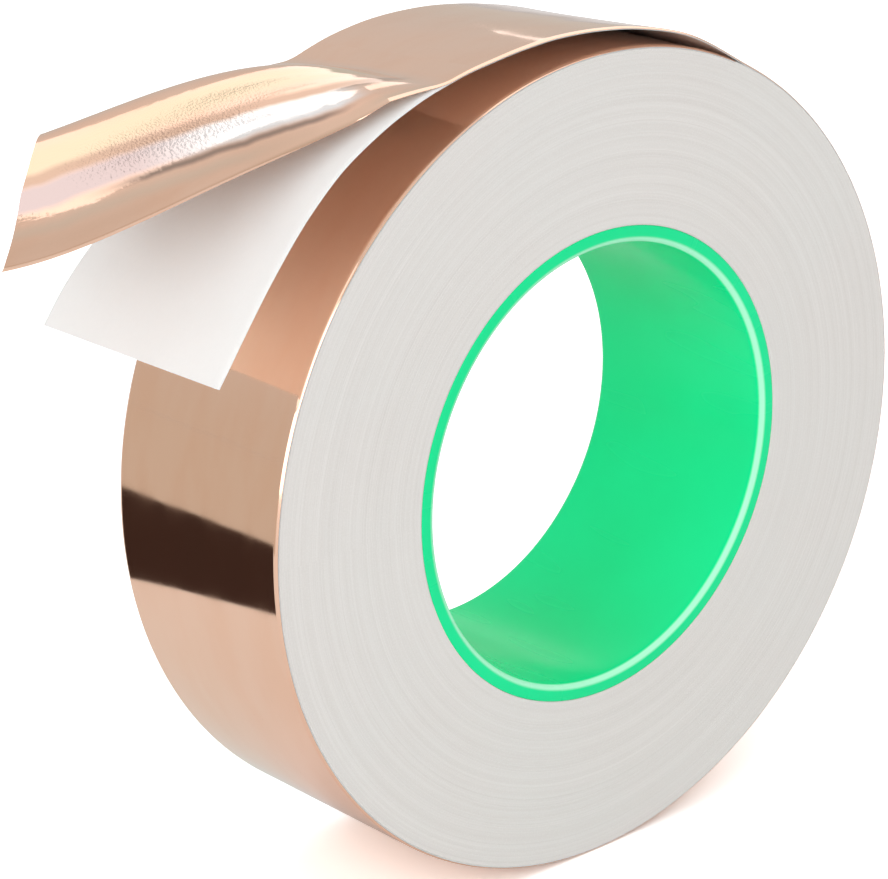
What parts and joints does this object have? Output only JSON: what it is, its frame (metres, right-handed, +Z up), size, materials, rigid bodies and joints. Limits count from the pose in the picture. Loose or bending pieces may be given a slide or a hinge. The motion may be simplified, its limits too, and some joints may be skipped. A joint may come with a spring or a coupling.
{
  "type": "copper foil tape roll",
  "caption": "Roll of wide copper foil tape on a green plastic core, with its end sprung off the roll and peeled into an arched foil flap and a hanging paper liner.",
  "frame": {"origin": "middle of the core's bore, half way across the tape", "axes": "+Y along the roll's axis, +Z up, -X the way the free end points"},
  "size_m": [0.1793, 0.0415, 0.1445],
  "materials": {
    "core_plastic": "glossy moulded plastic, saturated green",
    "liner_paper": "smooth silicone-coated white paper",
    "wound_edge": "slit edges of the wound layers, light grey with fine rings",
    "adhesive_film": "clear film over the dull side of the foil",
    "copper_foil": "bright rolled copper, near mirror"
  },
  "bodies": {
    "roll": {"core": "core_plastic", "core_start_tape": "liner_paper", "wound_turns": "wound_edge", "outer_turn_liner": "liner_paper", "outer_turn_adhesive": "adhesive_film", "outer_turn_foil": "copper_foil"},
    "loose_turn": {"loose_turn_liner": "liner_paper", "loose_turn_adhesive": "adhesive_film", "loose_turn_foil": "copper_foil"},
    "foil_flap": {"flap_foil": "copper_foil", "flap_adhesive": "adhesive_film"},
    "liner_flap": {"flap_liner": "liner_paper"}
  },
  "joints": [
    {"name": "loose_turn_lift", "type": "hinge", "parent": "roll", "child": "loose_turn", "pos_m": [0.01249, 0, 0.07086], "axis": [0, 1, 0], "range_deg": [-5, 20]},
    {"name": "foil_peel", "type": "hinge", "parent": "loose_turn", "child": "foil_flap", "pos_m": [-0.03526, 0, 0.06921], "axis": [0, 1, 0], "range_deg": [-6, 70]},
    {"name": "liner_fold", "type": "hinge", "parent": "loose_turn", "child": "liner_flap", "pos_m": [-0.03523, 0, 0.06915], "axis": [0, 1, 0], "range_deg": [-6, 3]}
  ]
}
